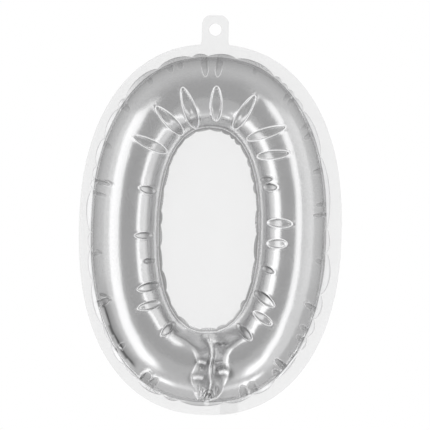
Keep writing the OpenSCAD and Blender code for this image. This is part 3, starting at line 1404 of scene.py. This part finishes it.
@dataclass(frozen=True)
class LowBox:
    """A rectangular soft light that shines straight up."""

    name: str
    place: tuple[float, float, float]
    size: tuple[float, float]
    brightness: float

    def build(self) -> bpy.types.Object:
        """Adds the light.

        Returns:
            The light's object.
        """
        light = soft_lamp(self.name, self.size, self.brightness, Vector(self.place))
        light.rotation_euler = (math.pi, 0.0, 0.0)
        return light


@dataclass
class Studio:
    """Room, floor, lights and camera."""

    target: Vector
    camera_distance: float = 2.2
    view_width: float = 0.430
    roll: float = 1.45
    camera_at: tuple[float, float] = (0.0043, -0.1853)
    floor_z: float = -0.78
    floor_radius: float = 3.0
    side_glow: float = 0.15
    room_greys: tuple[tuple[float, float], ...] = (
        (0.0, 0.54), (0.07, 0.55), (0.2, 0.70), (0.35, 0.76), (0.55, 0.68), (0.78, 0.54), (0.96, 0.38)
    )

    def world(self) -> None:
        """Makes the room: white behind the balloon, with soft greys in its reflections."""
        world = bpy.data.worlds.new("studio")
        bpy.context.scene.world = world
        world.use_nodes = True
        maker = NodeMaker(world.node_tree)
        place = maker.node("ShaderNodeTexCoord")
        axes = maker.node("ShaderNodeSeparateXYZ", {}, {"Vector": place.outputs["Generated"]})
        aside, ahead = (Value(maker, axes.outputs[key]) for key in "XY")
        depth = maker.value(
            "ShaderNodeValToRGB", {"stops": list(self.room_greys)}, {"Fac": ahead * 0.5 + 0.5}
        )
        room = depth * (aside * aside * self.side_glow + 1.0)
        tint = maker.node("ShaderNodeCombineColor", {}, {"Red": room, "Green": room, "Blue": room})
        seen = maker.node("ShaderNodeLightPath")
        grey = maker.node("ShaderNodeBackground", {}, {"Color": tint.outputs["Color"], "Strength": 1.0})
        white = maker.node("ShaderNodeBackground", {}, {"Color": (1.0, 1.0, 1.0, 1.0), "Strength": 1.0})
        mixed = maker.node(
            "ShaderNodeMixShader", {},
            {"Fac": seen.outputs["Is Camera Ray"], 1: grey.outputs[0], 2: white.outputs[0]},
        )
        maker.node("ShaderNodeOutputWorld", {}, {"Surface": mixed.outputs[0]})

    def floor(self) -> None:
        """Lays a round pale floor under the balloon."""
        deselect_all()
        bpy.ops.mesh.primitive_circle_add(
            vertices=96, radius=self.floor_radius, fill_type="NGON", location=(0.0, 0.0, self.floor_z)
        )
        floor = bpy.context.object
        floor.name = "floor"
        floor.data.materials.append(StudioFloor().build())

    def lights(self) -> None:
        """Stands soft boxes in front and behind on both sides, and lays three under the balloon."""
        boxes = [
            SoftBox("left_box", (-0.224, -0.376), (-0.351, -0.220), -0.62, 0.10, 0.98),
            SoftBox("left_fill", (-0.355, -0.215), (-0.400, -0.120), -0.62, 0.10, 0.22),
            SoftBox("right_strip", (0.158, -0.300), (0.235, -0.250), -0.62, 0.10, 1.02),
            SoftBox("right_fill", (0.245, -0.240), (0.350, -0.100), -0.62, 0.10, 0.32),
            SoftBox("left_low", (-0.18, -0.38), (-0.27, -0.27), -0.68, -0.46, 0.3),
            SoftBox("right_low", (0.12, -0.32), (0.21, -0.26), -0.68, -0.46, 0.3),
            SoftBox("back_left", (-0.36, 0.30), (-0.22, 0.40), -0.60, 0.10, 0.75),
            SoftBox("back_right", (0.36, 0.30), (0.22, 0.40), -0.60, 0.10, 0.75),
        ]
        for box in boxes:
            box.build(self.target)
        for name, x, width, brightness in (
            ("low_left", -0.185, 0.12, 1.2), ("low_middle", 0.0, 0.24, 0.3), ("low_right", 0.195, 0.14, 1.3)
        ):
            LowBox(name, (x, -0.115, -0.62), (width, 0.075), brightness).build()

    def camera(self) -> None:
        """Puts the camera straight in front, turned a little round its own axis."""
        data = bpy.data.cameras.new("camera")
        camera = bpy.data.objects.new("camera", data)
        bpy.context.scene.collection.objects.link(camera)
        data.sensor_width = 36.0
        data.lens = data.sensor_width * self.camera_distance / self.view_width
        data.clip_start, data.clip_end = 0.05, 50.0
        camera.location = (self.camera_at[0], -self.camera_distance, self.camera_at[1])
        camera.rotation_euler = (math.radians(90.0), math.radians(-self.roll), 0.0)
        bpy.context.scene.camera = camera

    def build(self) -> None:
        """Makes the whole studio."""
        self.world()
        self.floor()
        self.lights()
        self.camera()
        scene = bpy.context.scene
        scene.view_settings.view_transform = "Standard"
        scene.view_settings.look = "None"


# ---------------------------------------------------------------------------------------------
# The balloon
# ---------------------------------------------------------------------------------------------


@dataclass
class Balloon:
    """The whole balloon, ply by ply."""

    def build(self) -> list[bpy.types.Object]:
        """Makes every piece.

        Returns:
            The pieces, front to back.
        """
        foil = SatinFoil().build()
        clear = ClearFilm().build()
        milky = ClearFilm("valve_film", grey=0.85, alpha=0.012, roughness=0.30).build()
        pieces = [
            Foil(Side.FRONT, "silver_front", "front_foil", front_look(), foil).build(),
            Foil(Side.BACK, "silver_back", "back_foil", back_look(), foil).build(),
            ClearBorder(Side.FRONT, "clear_front", ("front_border", "front_tab"), clear).build(),
            ClearBorder(Side.BACK, "clear_back", ("back_border", "back_tab"), clear).build(),
            ClearWindow(Side.FRONT, "window_front", "front_window", clear).build(),
            ClearWindow(Side.BACK, "window_back", "back_window", clear).build(),
        ]
        for side, word in ((Side.FRONT, "front"), (Side.BACK, "back")):
            sleeve = ValveFilm(side, f"sleeve_{word}", f"valve_{word}_film", "balloon", milky)
            tail = ValveFilm(side, f"tail_{word}", f"valve_{word}_tail", "valve_tail", milky, bow=0.0006)
            pieces += [sleeve.build(), tail.build()]
        return pieces


def main() -> None:
    """Builds the balloon and its studio."""
    logging.basicConfig(level=logging.INFO, format="%(name)s: %(message)s")
    low, high = CAD_BOX
    Balloon().build()
    Studio((low + high) / 2).build()


if __name__ == "__main__":
    main()
